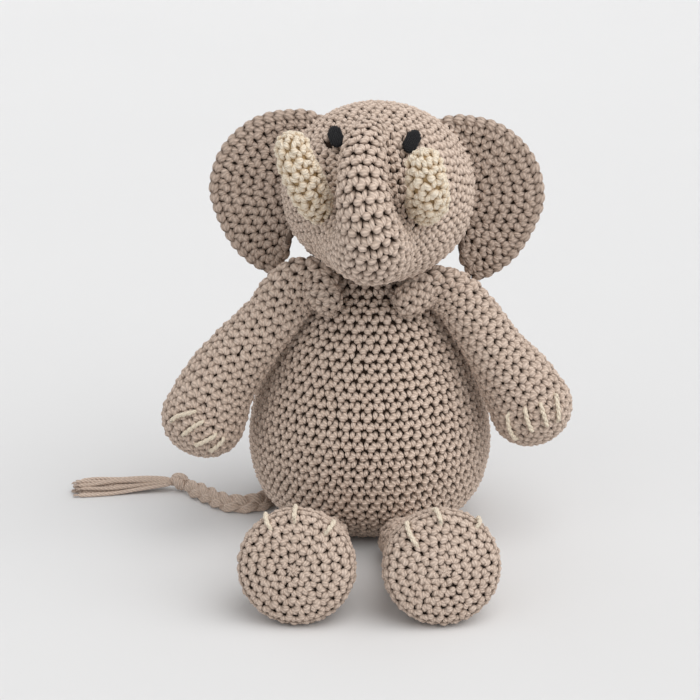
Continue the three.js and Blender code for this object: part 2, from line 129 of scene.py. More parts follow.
ARMS = {
    "right": dict(
        pivot=(-20, -23, 106), across=(0, 1, 0), start_cap=6, end_cap=15.5,
        stations=(
            (2.5, -3, -3, 4.2, 6.2), (-4, 3, 3.6, 5, 9.8), (-12, 3.4, -1, 6.8, 11.6),
            (-20.5, 1.4, -11.5, 9, 11.2), (-31.5, 0, -24.5, 11.6, 12.8),
            (-41.5, -1.5, -38, 13.8, 14.8), (-48.8, -2.8, -53.5, 15, 17),
        ),
    ),
    "left": dict(
        pivot=(17, -26, 106), across=(0, 1, 0), start_cap=6, end_cap=15.5,
        stations=(
            (-2, 0, -3, 4.2, 6.2), (8, 5, 1.4, 4.5, 8.3), (17, 6.2, -2.6, 6.6, 10),
            (24.5, 5, -11, 9, 10.7), (34, 3.2, -25, 11.6, 11.8), (42.5, 2, -37, 13.8, 14.6),
            (49.2, 1, -48.8, 15, 16.6),
        ),
    ),
}
LEGS = {
    "right": dict(
        pivot=(-18, -50.5, 9), across=(1, 0, 0), start_cap=8.8, end_cap=6.5,
        stations=(
            (0, 0, 0, 8.8, 8.8), (-3.4, -20, 2.9, 11, 11), (-6.4, -37, 7.3, 14.8, 14.6),
            (-8.7, -48, 10.9, 19.8, 19.4), (-10.5, -57, 12.8, 22.3, 21.8),
            (-11.1, -62, 13.9, 21.8, 21.4),
        ),
    ),
    "left": dict(
        pivot=(12.5, -52, 9), across=(1, 0, 0), start_cap=8.8, end_cap=6.5,
        stations=(
            (0, 0, 0, 8.8, 8.8), (4.6, -19, 2.9, 11, 11), (8.6, -36, 7.3, 14.8, 14.6),
            (12, -47, 10.9, 19.8, 19.4), (13.8, -56, 12.8, 22.3, 21.8),
            (14.4, -61, 13.9, 21.8, 21.4),
        ),
    ),
}

# Claws: start and end of each sewn stitch, as (along, around in degrees) on its form.
HAND_CLAWS = {
    "right": (
        ((6.19, 318), (5.67, 287)),
        ((6.3, 293), (5.81, 272)),
        ((6.35, 270), (5.99, 249)),
        ((6.35, 244), (6.02, 236)),
    ),
    "left": (
        ((6.3, 312), (5.6, 300)),
        ((6.26, 281), (5.64, 273)),
        ((6.3, 259), (5.74, 251)),
        ((6.34, 241), (5.76, 223)),
    ),
}
FOOT_CLAWS = {
    "right": (
        ((5.42, 210), (4.4, 210)),
        ((5.41, 180), (4.3, 181)),
        ((5.4, 140), (4.7, 142)),
    ),
    "left": (
        ((5.56, 227), (5.0, 216)),
        ((5.41, 184), (4.8, 189)),
        ((5.3, 142), (4.4, 144)),
    ),
}

TAIL_PIVOT = (-9.7, 45, 9.2)
TAIL_ROUTE = (
    (0, 0, 0), (-1, 2.9, -2.3), (-2.9, 5.9, -4.1), (-5.8, 8.5, -5.1), (-9.7, 10.2, -5.4),
    (-13.7, 10.7, -5.5), (-17.6, 10, -5.5), (-21.1, 8.1, -5.5), (-24.1, 5.2, -5.5),
    (-26.4, 1.4, -5.5), (-28.1, -3.2, -5.5), (-29.3, -9, -5.5), (-30.2, -15, -5.5),
    (-30.8, -21, -5.5), (-31.3, -27, -5.5), (-32, -32.6, -5.5), (-33.6, -37, -5.5),
    (-36.2, -40.4, -5.5), (-39.6, -42.8, -5.5), (-43.7, -43.9, -5.5), (-47.9, -43.7, -5.5),
    (-51.9, -42.2, -5.5), (-55.2, -39.4, -5.5), (-58.5, -35.6, -5.5), (-61.9, -31.7, -5.5),
    (-65.3, -27.8, -5.5), (-70.2, -22.2, -5.5),
)
KNOT_CENTRE = (-73.4, -18.9, -5.2)
TASSEL_ROUTE = (
    (-77, -18.2, -5.4), (-82, -18, -5.6), (-90.2, -18.5, -6), (-104.2, -19.9, -6.2),
    (-119.2, -21.1, -6.4),
)

# ---- Small vector helpers ------------------------------------------------------------------


def unit(v):
    return v / np.maximum(np.linalg.norm(v, axis=-1, keepdims=True), 1e-12)


def dot(a, b):
    return np.sum(a * b, axis=-1, keepdims=True)


def turned_y(points, angle):
    """Points turned about the Y axis."""
    c, s = math.cos(angle), math.sin(angle)
    x, y, z = points[..., 0], points[..., 1], points[..., 2]
    return np.stack([c * x + s * z, y, c * z - s * x], axis=-1)


def reach_along(line):
    """The distance from the start of a line of points to each of them."""
    return np.concatenate([[0], np.cumsum(np.linalg.norm(np.diff(line, axis=0), axis=1))])


def values_at(places, known, values):
    """Rows of values, taken between the known places."""
    return np.stack([np.interp(places, known, column) for column in values.T], axis=1)


def spline(points, u, centripetal=True, mirrored=True):
    """Places and slopes along a Catmull-Rom curve through the points, at u from 0 to 1."""
    p = np.asarray(points, float)
    before, after = (2 * p[:1] - p[1:2], 2 * p[-1:] - p[-2:-1]) if mirrored else (p[:1], p[-1:])
    p = np.concatenate([before, p, after])
    steps = len(p) - 3
    place = np.clip(np.asarray(u, float), 0, 1) * steps
    i = np.minimum(place.astype(int), steps - 1)
    t = (place - i)[:, None]
    x0, x1, x2, x3 = p[i], p[i + 1], p[i + 2], p[i + 3]
    if centripetal:
        d0, d1, d2 = (np.sum((b - a) ** 2, axis=1, keepdims=True) ** 0.25
                      for a, b in ((x0, x1), (x1, x2), (x2, x3)))
        t1 = ((x1 - x0) / d0 - (x2 - x0) / (d0 + d1) + (x2 - x1) / d1) * d1
        t2 = ((x2 - x1) / d1 - (x3 - x1) / (d1 + d2) + (x3 - x2) / d2) * d1
    else:
        t1 = (x2 - x0) / 2
        t2 = (x3 - x1) / 2
    c2 = -3 * x1 + 3 * x2 - 2 * t1 - t2
    c3 = 2 * x1 - 2 * x2 + t1 + t2
    return x1 + t1 * t + c2 * t**2 + c3 * t**3, t1 + 2 * c2 * t + 3 * c3 * t**2


def even_line(points, gap):
    """A smooth line through the points, with places about gap apart."""
    fine, _ = spline(points, np.linspace(0, 1, 40 * len(points)))
    length = reach_along(fine)
    places = np.linspace(0, length[-1], max(3, int(round(length[-1] / gap)) + 1))
    return values_at(places, length, fine), places


# ---- Forms as grids of points --------------------------------------------------------------


def rings_of(form, alongs):
    """Centre, side, up, wide and thick of a round form's rings, as the CAD model makes them."""
    stations = np.array(form["stations"], float)
    last = len(stations) - 1
    alongs = np.asarray(alongs, float)
    u = np.clip(alongs / last, 0, 1)
    centre, slope = spline(stations[:, :3], u)
    size, _ = spline(stations[:, 3:], u, centripetal=False)
    tangent = unit(slope)
    past = np.where(alongs < 0, -alongs, np.maximum(0, alongs - last))[:, None]
    cap = np.where(alongs < 0, -form["start_cap"], form["end_cap"])[:, None]
    centre = centre + tangent * cap * np.sin(past * math.pi / 2)
    across = np.array(form["across"], float)
    side = unit(across - tangent * (tangent @ across)[:, None])
    up = np.cross(side, tangent)
    size = size * np.cos(np.clip(past, 0, 1) * math.pi / 2)
    return centre, side, up, size[:, :1], size[:, 1:]


def form_points(form, along, around):
    """Points on a round form's surface, at matching arrays of along and around in degrees."""
    centre, side, up, wide, thick = rings_of(form, along)
    angle = np.radians(np.asarray(around, float))[:, None]
    return centre + side * wide * np.sin(angle) + up * thick * np.cos(angle)


class Surface:
    """A surface as rings of points: s is the distance across the rings and t goes round each."""

    def __init__(self, rings, inside, closed=True, columns=120):
        rings = np.asarray(rings, float)
        self.closed = closed
        if closed:
            rings = np.concatenate([rings, rings[:, :1]], axis=1)
        even = []
        for ring in rings:
            length = reach_along(ring)
            if length[-1] < 1e-3:
                even.append(np.repeat(ring[:1], columns + 1, axis=0))
                continue
            places = np.linspace(0, length[-1], columns + 1)
            even.append(values_at(places, length, ring))
        self.points = np.stack(even)
        self.columns = columns
        gaps = np.linalg.norm(np.diff(self.points, axis=0), axis=2).mean(axis=1)
        self.distance = np.concatenate([[0], np.cumsum(gaps)])
        self.length = self.distance[-1]
        self.girths = np.linalg.norm(np.diff(self.points, axis=1), axis=2).sum(axis=1)
        self.sign = self.facing(inside)

    def girth(self, s):
        return np.interp(s, self.distance, self.girths)

    def at(self, s, t):
        """Points at matching arrays of s in mm and t in turns."""
        s = np.clip(s, 0, self.length)
        row = np.interp(s, self.distance, np.arange(len(self.distance)))
        column = (np.mod(t, 1.0) if self.closed else np.clip(t, 0, 1)) * self.columns
        i = np.minimum(row.astype(int), len(self.distance) - 2)
        j = np.minimum(column.astype(int), self.columns - 1)
        a = (row - i)[:, None]
        b = (column - j)[:, None]
        p = self.points
        low = p[i, j] * (1 - b) + p[i, j + 1] * b
        high = p[i + 1, j] * (1 - b) + p[i + 1, j + 1] * b
        return low * (1 - a) + high * a

    def frames(self, s, t, half_s, half_t):
        """Point, outward normal, upward and right vectors; the last two span one stitch."""
        point = self.at(s, t)
        upward = self.at(s + half_s, t) - self.at(s - half_s, t)
        span = np.clip(s + half_s, 0, self.length) - np.clip(s - half_s, 0, self.length)
        upward = upward * (2 * half_s / np.maximum(span, 1e-6))[:, None]
        around = self.at(s, t + half_t) - self.at(s, t - half_t)
        normal = unit(np.cross(around, upward)) * self.sign
        right = np.cross(unit(upward), normal) * np.linalg.norm(around, axis=1, keepdims=True)
        way = np.where(dot(right, around) < 0, -1.0, 1.0)[:, 0]
        return point, normal, upward, right, way

    def facing(self, inside):
        """1 where around, then upward gives the outward side, and -1 where it is the other way."""
        row, column = len(self.points) // 3, self.columns // 3
        here = self.points[row, column]
        around = self.points[row, column + 1] - here
        upward = self.points[row + 1, column] - here
        return 1.0 if np.dot(np.cross(around, upward), here - inside) > 0 else -1.0


def form_surface(form, reverse=False, place=lambda p: p, columns=120):
    """A round form's surface. Rounds run from its start cap, or from its end cap if reversed."""
    last = len(form["stations"]) - 1
    alongs = np.concatenate([
        -1 + np.linspace(0, 1, 24, endpoint=False),
        np.linspace(0, last, 14 * last, endpoint=False),
        last + np.linspace(0, 1, 25),
    ])
    centre, side, up, wide, thick = rings_of(form, alongs)
    angle = np.linspace(0, TURN, columns, endpoint=False)
    rings = (centre[:, None] + (side * wide)[:, None] * np.sin(angle)[None, :, None]
             + (up * thick)[:, None] * np.cos(angle)[None, :, None])
    rings = place(rings)
    if reverse:
        rings = rings[::-1]
    return Surface(rings, rings[len(rings) // 3].mean(axis=0), columns=columns)


def torso_surface():
    """The body, from the middle of its seat to the mouth of its neck."""
    start = math.acos((NECK_START - NECK_CENTRE[2]) / NECK_BALL)
    end = math.asin(NECK_MOUTH / NECK_BALL)
    neck = [(NECK_BALL * math.sin(a), NECK_CENTRE[2] + NECK_BALL * math.cos(a))
            for a in np.linspace(start, end, 6)]
    outline = [(0, 0), (SEAT_RADIUS / 2, 0), (SEAT_RADIUS, 0.2)]
    outline += list(zip(TORSO_RADII, TORSO_HEIGHTS)) + neck
    outline = np.array([(radius, 0, height) for radius, height in outline], float)
    profile, _ = even_line(outline, 0.8)
    angle = np.linspace(0, TURN, 180, endpoint=False)
    rings = np.stack([
        profile[:, :1] * np.cos(angle), profile[:, :1] * np.sin(angle),
        np.repeat(profile[:, 2:], len(angle), axis=1),
    ], axis=2)
    return Surface(rings, rings[len(rings) // 3].mean(axis=0), columns=180)


# ---- Meshes --------------------------------------------------------------------------------


class Mesh:
    """Vertices in mm, faces and their values, gathered from many small closed solids."""

    def __init__(self):
        self.vertices = []
        self.corners = []
        self.sizes = []
        self.uvs = []
        self.shade = []
        self.lift = []
        self.count = 0

    def add(self, vertices, corners, sizes, uvs, shade, lift):
        """Adds solids that share one layout: vertices (solids, each, 3), corners (each,)."""
        solids, each = vertices.shape[:2]
        start = self.count + np.arange(solids)[:, None] * each
        self.vertices.append(vertices.reshape(-1, 3))
        self.corners.append((corners[None] + start).reshape(-1))
        self.sizes.append(np.tile(sizes, solids))
        self.uvs.append(np.tile(uvs, (solids, 1)) if uvs.ndim == 2 else uvs.reshape(-1, 2))
        self.shade.append(np.broadcast_to(shade, (solids, each)).reshape(-1))
        self.lift.append(np.broadcast_to(lift, (solids, each)).reshape(-1))
        self.count += solids * each

    def build(self, name, material, floor=None):
        vertices = np.concatenate(self.vertices) * MM
        if floor is not None:
            vertices[:, 2] = np.maximum(vertices[:, 2], floor * MM)
        corners = np.concatenate(self.corners).astype(np.int32)
        sizes = np.concatenate(self.sizes).astype(np.int32)
        mesh = bpy.data.meshes.new(name)
        mesh.vertices.add(len(vertices))
        mesh.vertices.foreach_set("co", vertices.astype(np.float32).reshape(-1))
        mesh.loops.add(len(corners))
        mesh.loops.foreach_set("vertex_index", corners)
        starts = np.concatenate([[0], np.cumsum(sizes)[:-1]]).astype(np.int32)
        mesh.polygons.add(len(sizes))
        mesh.polygons.foreach_set("loop_start", starts)
        mesh.polygons.foreach_set("use_smooth", np.ones(len(sizes), bool))
        mesh.update(calc_edges=True)
        layer = mesh.uv_layers.new(name="yarn")
        layer.data.foreach_set("uv", np.concatenate(self.uvs).astype(np.float32).reshape(-1))
        for key, values in (("shade", self.shade), ("lift", self.lift)):
            attribute = mesh.attributes.new(key, "FLOAT", "POINT")
            attribute.data.foreach_set("value", np.concatenate(values).astype(np.float32))
        mesh.materials.append(material)
        mesh.validate()
        piece = bpy.data.objects.new(name, mesh)
        bpy.context.scene.collection.objects.link(piece)
        return piece


BULGE_SIDES = 6
BULGE_RINGS = (-0.74, -0.27, 0.27, 0.74)


def tube_layout(rings, sides):
    """Corners and face sizes of a closed tube: rings of sides vertices, then its two poles."""
    corners = []
    sizes = []
    spots = []
    for i in range(rings - 1):
        for k in range(sides):
            j = (k + 1) % sides
            corners += [i * sides + k, i * sides + j, (i + 1) * sides + j, (i + 1) * sides + k]
            spots += [(i + 1, k), (i + 1, k + 1), (i + 2, k + 1), (i + 2, k)]
            sizes.append(4)
    first, last = rings * sides, rings * sides + 1
    for k in range(sides):
        j = (k + 1) % sides
        corners += [first, j, k]
        spots += [(0, k + 0.5), (1, k + 1), (1, k)]
        corners += [last, (rings - 1) * sides + k, (rings - 1) * sides + j]
        spots += [(rings + 1, k + 0.5), (rings, k), (rings, k + 1)]
        sizes += [3, 3]
    return np.array(corners), np.array(sizes), np.array(spots, float)


BULGE_CORNERS, BULGE_SIZES, BULGE_SPOTS = tube_layout(len(BULGE_RINGS), BULGE_SIDES)
BULGE_UV = np.stack([
    np.interp(BULGE_SPOTS[:, 0], np.arange(6), [-1, *BULGE_RINGS, 1]) * 0.5,
    BULGE_SPOTS[:, 1] / BULGE_SIDES,
], axis=1)


def bulge_template():
    """A closed bulge of yarn, 1 long, 1 wide and 1 thick: (across, along, out) and its ends."""
    rows = []
    for q in BULGE_RINGS:
        radius = 0.5 * (1 - abs(q) ** 2.2) ** 0.72
        for k in range(BULGE_SIDES):
            a = TURN * k / BULGE_SIDES
            rows.append((radius * math.sin(a), q / 2, radius * math.cos(a)))
    rows += [(0, -0.5, 0), (0, 0.5, 0)]
    return np.array(rows)


BULGE = bulge_template()


def add_bulges(mesh, point, normal, along, across, long, wide, thick, dip, rng, tip=0.0):
    """Bulges at points: along and across are unit vectors and the sizes are arrays in mm."""
    t = BULGE[None]
    x = t[..., 0] * wide[:, None]
    y = t[..., 1] * long[:, None]
    z = t[..., 2] * thick[:, None] - dip[:, None] * (2 * t[..., 1]) ** 2 - tip * 2 * t[..., 1]
    vertices = (point[:, None] + across[:, None] * x[..., None] + along[:, None] * y[..., None]
                + normal[:, None] * z[..., None])
    shade = np.clip(rng.normal(0.5, 0.2, len(point)), 0, 1)[:, None]
    # height within the bulge, 0 at its bottom and 1 at its top: the yarn shader paints shade on the
    # low parts
    height = np.clip(0.5 + z / np.maximum(thick[:, None], 1e-6), 0, 1)
    mesh.add(vertices, BULGE_CORNERS, BULGE_SIZES, BULGE_UV, shade, height)


def add_stitches(mesh, surface, size, rng, keep=None, s_range=None, puff=1.0, jitter=1.0,
                 full=1.0):
    """Lays rounds of stitches over a surface, from its first ring to its last.

    puff and full scale the bulges' thickness, and their length and width.
    """
    wide, high = size
    low, top = s_range or (0, surface.length)
    rounds = max(1, int(round((top - low) / high)))
    step = (top - low) / rounds
    rows = []
    phase = rng.random()
    for j in range(rounds):
        s = low + (j + 0.5) * step
        n = max(SMALLEST_ROUND, int(round(surface.girth(s) / wide)))
        if surface.closed:
            t = (np.arange(n) + phase) / n
            phase += ROUND_SHIFT
        else:
            t = (np.arange(n) + 0.5 + ROUND_SHIFT * (j % 3 - 1)) / n
        rows.append(np.stack([np.full(n, s), t, np.full(n, n, float)]))
    s, t, n = np.concatenate(rows, axis=1)
    if keep is not None:
        chosen = keep(surface.at(s, t))
        s, t, n = s[chosen], t[chosen], n[chosen]
    half_t = 0.5 / n
    count = len(s)
    way = surface.frames(s, t, step / 2, half_t)[-1]
    rng.normal(size=count)  # one draw is left for each stitch before those of its bulges
    for bulge in BULGES:
        a, b = bulge["at"]
        a = a + rng.normal(0, PLACE_JITTER * jitter, count)
        b = b + rng.normal(0, PLACE_JITTER * jitter, count)
        ss = s + b * step
        tt = t + way * a / n
        point, normal, upward, right, _ = surface.frames(ss, tt, step / 2, half_t)
        h = np.clip(np.linalg.norm(upward, axis=1) / high, 0.45, 1.35)
        w = np.clip(np.linalg.norm(right, axis=1) / wide, 0.4, 1.35)
        lean = np.radians(bulge["lean"] + rng.normal(0, LEAN_JITTER * jitter, count))[:, None]
        u_dir, r_dir = unit(upward), unit(right)
        along = np.cos(lean) * u_dir + np.sin(lean) * r_dir
        across = np.cos(lean) * r_dir - np.sin(lean) * u_dir
        tilt = abs(math.sin(math.radians(bulge["lean"])))
        stretch = h * (1 - tilt) + w * tilt
        squeeze = w * (1 - tilt) + h * tilt
        long = full * bulge["long"] * high / STITCH_HIGH * stretch * rng.normal(1, SIZE_JITTER, count)
        broad = full * bulge["wide"] * wide / STITCH_WIDE * squeeze * rng.normal(1, SIZE_JITTER, count)
        thin = np.clip(np.sqrt(h * w), 0.55, 1.1)
        thick = bulge["thick"] * puff * thin
        out = (bulge["lift"] + rng.normal(0, LIFT_JITTER * jitter, count))[:, None]
        dip = bulge["dip"] * thin * puff
        add_bulges(mesh, point + normal * out, normal, along, across, long, broad, thick, dip,
                   rng, bulge["tip"])


def add_inner(mesh, surface, sink=FABRIC_SINK, push=None):
    """The closed fabric under the stitches, which is given a dark colour of painted shade."""
    rows = max(10, int(surface.length / 2.2))
    columns = max(16, int(surface.girths.max() / 3.0))
    s = np.linspace(0, surface.length, rows + 2)[1:-1]
    t = np.arange(columns) / columns
    ss, tt = (v.reshape(-1) for v in np.meshgrid(s, t, indexing="ij"))
    point, normal, *_ = surface.frames(ss, tt, np.full(len(ss), 0.8), 0.5 / columns)
    point = point - normal * sink
    ends = []
    for place, step in ((0, 1), (surface.length, -1)):
        pole = surface.at(np.array([float(place)]), np.array([0.0]))
        ring = surface.at(np.full(8, place + step * 2.0), np.arange(8) / 8)
        axis = unit(pole - ring.mean(axis=0))
        ends.append(pole - axis * sink)
    vertices = np.concatenate([point, *ends])
    if push is not None:
        vertices = push(vertices)
    corners, sizes, spots = tube_layout(rows, columns)
    first = np.cross(vertices[columns] - vertices[0], vertices[1] - vertices[0])
    if np.dot(first, normal[0]) > 0:
        corners, spots = flipped(corners, sizes, spots)
    uvs = spots * (2.2, 3.0) / 8
    mesh.add(vertices[None], corners, sizes, uvs, 0.5, 0.5)


def flipped(corners, sizes, spots):
    """The same faces, wound the other way."""
    order = []
    start = 0
    for size in sizes:
        order += list(range(start + size - 1, start - 1, -1))
        start += size
    return corners[order], spots[order]


def add_yarn(mesh, line, radius, rng, sides=8, up=None, pitch=3.2, taper=0.0, shade=None):
    """A closed round strand along a line of points, with its own twist in its UVs."""
    line = np.asarray(line, float)
    slope = unit(np.gradient(line, axis=0))
    guide = np.array([0.0, 0.0, 1.0]) if up is None else np.asarray(up, float)
    right = np.cross(slope, guide)
    weak = np.linalg.norm(right, axis=1) < 0.2
    right[weak] = np.cross(slope[weak], [0.3, 1.0, 0.1])
    right = unit(right)
    out = np.cross(right, slope)
    length = reach_along(line)
    size = np.broadcast_to(np.asarray(radius, float), (len(line),)).copy()
    if taper:
        near = np.minimum(length, length[-1] - length) / taper
        size *= np.sqrt(np.clip(near, 0.12, 1))
    angle = np.arange(sides) / sides * TURN
    rings = (line[:, None] + (right * size[:, None])[:, None] * np.cos(angle)[None, :, None]
             + (out * size[:, None])[:, None] * np.sin(angle)[None, :, None])
    tips = np.stack([line[0] - slope[0] * size[0] * 0.4, line[-1] + slope[-1] * size[-1] * 0.4])
    vertices = np.concatenate([rings.reshape(-1, 3), tips])
    corners, sizes, spots = tube_layout(len(line), sides)
    first = np.cross(rings[0, 1] - rings[0, 0], rings[1, 0] - rings[0, 0])
    if np.dot(first, rings[0, 0] - line[0]) < 0:
        corners, spots = flipped(corners, sizes, spots)
    places = np.concatenate([[0], length, [length[-1]]])
    uvs = np.stack([np.interp(spots[:, 0], np.arange(len(places)), places) / pitch,
                    spots[:, 1] / sides], axis=1)
    tone = rng.random() if shade is None else shade
    # a lift of 0.8 gives these strands only a little of the yarn's painted crease shade
    mesh.add(vertices[None], corners, sizes, uvs, tone, 0.8)


# ---- Materials -----------------------------------------------------------------------------


class Look:
    """A new material, with short ways to add nodes to it."""

    def __init__(self, name, **values):
        self.material = bpy.data.materials.new(name)
        self.material.use_nodes = True
        self.nodes = self.material.node_tree.nodes
        self.shader = self.nodes["Principled BSDF"]
        for key, value in values.items():
            self.put(value, self.shader.inputs[key.replace("_", " ")])
        self.place = self.nodes.new("ShaderNodeTexCoord").outputs["Object"]

    def put(self, value, socket):
        """Sets a socket to a number or a colour, or links another socket to it."""
        if isinstance(value, bpy.types.NodeSocket):
            self.material.node_tree.links.new(value, socket)
        elif isinstance(value, tuple):
            socket.default_value = (*value, 1)
        else:
            socket.default_value = value

    def add(self, kind, output, inputs, **settings):
        """Adds a node and returns one of its outputs."""
        node = self.nodes.new(kind)
        for key, value in settings.items():
            setattr(node, key, value)
        for key, value in inputs.items():
            self.put(value, node.inputs[key])
        return node.outputs[output]

    def sum(self, operation, *values):
        return self.add("ShaderNodeMath", 0, dict(enumerate(values)), operation=operation)

    def attribute(self, name):
        return self.add("ShaderNodeAttribute", "Fac", {}, attribute_name=name)

    def mixed(self, factor, first, second):
        inputs = {"Factor": factor, 6: first, 7: second}
        return self.add("ShaderNodeMix", 2, inputs, data_type="RGBA")

    def scaled(self, value, low, high, from_low=0.0, from_high=1.0):
        inputs = {"Value": value, "To Min": low, "To Max": high, "From Min": from_low,
                  "From Max": from_high}
        return self.add("ShaderNodeMapRange", "Result", inputs)

    def noise(self, scale, detail=2.0, rough=0.5):
        inputs = {"Vector": self.place, "Scale": scale, "Detail": detail, "Roughness": rough}
        return self.add("ShaderNodeTexNoise", "Fac", inputs)

    def finish(self, colour, height=None, strength=0.0, distance=0.0):
        self.put(colour, self.shader.inputs["Base Color"])
        if height is not None:
            inputs = {"Height": height, "Strength": strength, "Distance": distance}
            self.put(self.add("ShaderNodeBump", "Normal", inputs), self.shader.inputs["Normal"])
        return self.material


# deep is the painted shade colour of creases and ply grooves; fibre noise also darkens towards it at
# random.
def yarn_material(name, bright, dark, deep, sheen=0.3, rough=0.88, shaded=0.88):
    """Twisted cotton: plies run round the strand, with painted shade in the grooves between them, and
    painted shade darkens the yarn where it sinks.
    """
    look = Look(name, Roughness=rough, Specular_IOR_Level=0.25, Sheen_Weight=sheen,
                Sheen_Roughness=0.6, Sheen_Tint=bright)
    uv = look.add("ShaderNodeUVMap", "UV", {}, uv_map="yarn")
    split = look.add("ShaderNodeSeparateXYZ", "X", {0: uv}).node.outputs
    twist = look.sum("MULTIPLY_ADD", split["X"], PLY_TWIST, split["Y"])
    wave = look.sum("SINE", look.sum("MULTIPLY", twist, PLIES * TURN))
    fibre = look.noise(2600, 2.0, 0.6)
    colour = look.mixed(look.scaled(look.attribute("shade"), 0.0, 1.0), dark, bright)
    for factor, towards in (
        (look.scaled(look.noise(55), 0.0, 0.3, 0.35, 0.7), dark),
        # painted shade in the grooves between the plies
        (look.scaled(wave, 0.3, 0.0, -1.0, 0.3), deep),
        (look.scaled(fibre, 0.16, 0.0, 0.3, 0.7), deep),
        # painted shade on the low, sunk parts of each bulge, where the creases are
        (look.scaled(look.attribute("lift"), shaded, 0.0, 0.35, 0.88), deep),
    ):
        colour = look.mixed(factor, colour, towards)
    return look.finish(colour, look.sum("MULTIPLY_ADD", fibre, 0.5, wave), 0.6, 0.00024)


def fabric_material(name, colour, dark):
    """The inside of the crochet, seen in the holes between the stitches; its dark colours there are
    painted shade.
    """
    look = Look(name, Roughness=0.95, Specular_IOR_Level=0.1)
    grain = look.noise(900, 3.0)
    return look.finish(look.mixed(grain, dark, colour), grain, 0.6, 0.0003)


def filling_material():
    """Polyester fibre."""
    look = Look("filling_fibre", Roughness=0.9, Sheen_Weight=0.4)
    tuft = look.noise(220, 5.0, 0.7)
    return look.finish(look.mixed(tuft, (0.7, 0.69, 0.66), (0.86, 0.85, 0.82)), tuft, 0.8, 0.001)


PLIES = 4
PLY_TWIST = 0.5  # turns of the plies for each unit of the yarn's UV length
# The third colour of each yarn is its painted shade for creases and ply grooves.
TAUPE = yarn_material("taupe_yarn", (0.9, 0.74, 0.63), (0.76, 0.61, 0.505), (0.14, 0.09, 0.062))
# A darker copy of the taupe yarn: painted shade over the ears.
EAR_TAUPE_PAINTED_SHADE = yarn_material("taupe_yarn_ears_painted_shade", (0.7, 0.565, 0.475), (0.56, 0.44, 0.36),
                          (0.1, 0.064, 0.045))
# A darker copy of the taupe yarn: painted shade over the arms and legs.
LIMB_TAUPE_PAINTED_SHADE = yarn_material("taupe_yarn_limbs_painted_shade", (0.83, 0.68, 0.575), (0.68, 0.54, 0.445),
                           (0.12, 0.078, 0.055))
CREAM = yarn_material("cream_yarn", (0.95, 0.87, 0.74), (0.92, 0.82, 0.67), (0.6, 0.42, 0.24),
                      shaded=0.6)
BLACK = yarn_material("black_yarn", (0.012, 0.012, 0.014), (0.008, 0.008, 0.01),
                      (0.002, 0.002, 0.003), sheen=0.05, rough=0.6)
# The same yarns made dark: painted shade for the holes between the stitches.
TAUPE_INSIDE_PAINTED_SHADE = fabric_material("taupe_fabric_inside_painted_shade", (0.05, 0.032, 0.022), (0.02, 0.012, 0.009))
CREAM_INSIDE_PAINTED_SHADE = fabric_material("cream_fabric_inside_painted_shade", (0.5, 0.36, 0.2), (0.34, 0.22, 0.1))
SEAM_YARN = fabric_material("neck_seam_yarn", (0.5, 0.4, 0.33), (0.3, 0.23, 0.18))
FILLING = filling_material()

# ---- Camera, light and background ----------------------------------------------------------

VIEW_RISE = math.radians(18)
VIEW_TARGET = (-0.0084, 0.0, 0.0736)
VIEW_DISTANCE = 1.0
VIEW_WIDTH = 0.294  # of what the picture shows at the target
SENSOR = 36.0


def make_camera():
    data = bpy.data.cameras.new("camera")
    data.sensor_width = SENSOR
    data.lens = SENSOR * VIEW_DISTANCE / VIEW_WIDTH
    camera = bpy.data.objects.new("camera", data)
    camera.location = (
        VIEW_TARGET[0],
        VIEW_TARGET[1] - VIEW_DISTANCE * math.cos(VIEW_RISE),
        VIEW_TARGET[2] + VIEW_DISTANCE * math.sin(VIEW_RISE),
    )
    camera.rotation_euler = (math.pi / 2 - VIEW_RISE, 0, 0)
    bpy.context.scene.collection.objects.link(camera)
    bpy.context.scene.camera = camera


def add_light(name, place, aim, spread, strength, colour):
    data = bpy.data.lights.new(name, "SUN")
    data.angle = spread
    data.energy = strength
    data.color = colour
    light = bpy.data.objects.new(name, data)
    light.location = place
    way = np.array(aim, float) - np.array(place, float)
    light.rotation_euler = (
        math.atan2(math.hypot(way[0], way[1]), -way[2]), 0, math.atan2(way[1], way[0]) - math.pi / 2,
    )
    bpy.context.scene.collection.objects.link(light)


def make_studio():
    look = Look("backdrop_paper", Roughness=0.9, Specular_IOR_Level=0.1)
    paper = look.mixed(look.noise(3.0), (0.745, 0.748, 0.755), (0.765, 0.768, 0.772))
    front, turn, bend, height, half = -2.2, 1.2, 0.7, 3.0, 3.5
    profile = [(front, 0.0), (turn, 0.0)]
    for k in range(1, 13):
        a = k / 12 * math.pi / 2
        profile.append((turn + bend * math.sin(a), bend * (1 - math.cos(a))))
    profile.append((turn + bend, height))
    vertices = [(x, y, z) for y, z in profile for x in (-half, half)]
    faces = [(2 * i, 2 * i + 1, 2 * i + 3, 2 * i + 2) for i in range(len(profile) - 1)]
    mesh = bpy.data.meshes.new("backdrop")
    mesh.from_pydata(vertices, [], faces)
    mesh.polygons.foreach_set("use_smooth", [True] * len(faces))
    mesh.materials.append(look.finish(paper))
    backdrop = bpy.data.objects.new("backdrop", mesh)
    bpy.context.scene.collection.objects.link(backdrop)

    world = bpy.data.worlds.new("studio")
    world.use_nodes = True
    world.node_tree.nodes["Background"].inputs["Color"].default_value = (1.0, 1.0, 1.0, 1)
    world.node_tree.nodes["Background"].inputs["Strength"].default_value = 0.5
    bpy.context.scene.world = world
    add_light("key", (0.9, -0.65, 1.5), (0, 0, 0), math.radians(70), 1.9, (1.0, 0.99, 0.98))
    add_light("fill", (-0.6, -1.2, 0.9), (0, 0, 0), math.radians(60), 0.35, (1.0, 1.0, 1.0))
    bpy.context.scene.view_settings.view_transform = "Standard"


def join(pieces, body, node):
    """Pieces that ride on a body; the last one stands for a node."""
    for piece in pieces:
        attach(piece, body)
    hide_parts(node)


make_camera()
make_studio()

# ---- The tail: a plait of three strands, its knot and its tassel --------------------------

